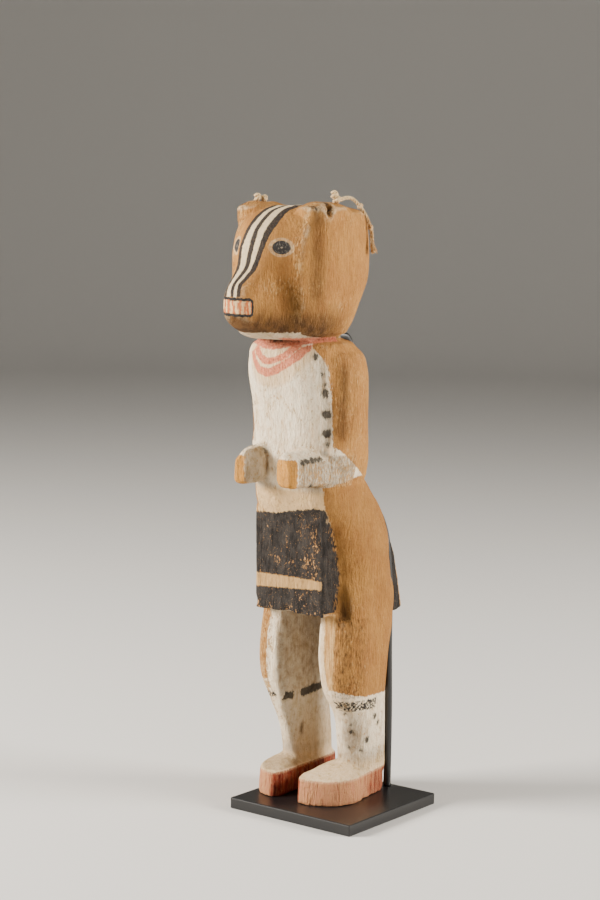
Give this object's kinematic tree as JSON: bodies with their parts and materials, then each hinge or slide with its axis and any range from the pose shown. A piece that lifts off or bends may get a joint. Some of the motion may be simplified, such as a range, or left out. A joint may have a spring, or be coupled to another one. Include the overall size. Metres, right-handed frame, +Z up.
{
  "type": "kachina doll",
  "caption": "Carved and painted wooden standing figure with an animal head, short arms and an apron kilt, held by a bent rod on a square plate.",
  "frame": {"origin": "middle of the plate's underside", "axes": "+Z up, the figure faces -Y, its left side is +X"},
  "size_m": [0.0715, 0.1046, 0.2704],
  "materials": {
    "painted_wood": "matt earth pigments on carved cottonwood root",
    "stand_steel": "satin black",
    "cotton_string": "soiled twisted cotton"
  },
  "bodies": {
    "root": {"base_plate": "stand_steel", "support_rod": "stand_steel", "doll": "painted_wood", "left_ear_string": "cotton_string", "left_ear_knot": "cotton_string", "right_ear_knot": "cotton_string"}
  },
  "joints": []
}
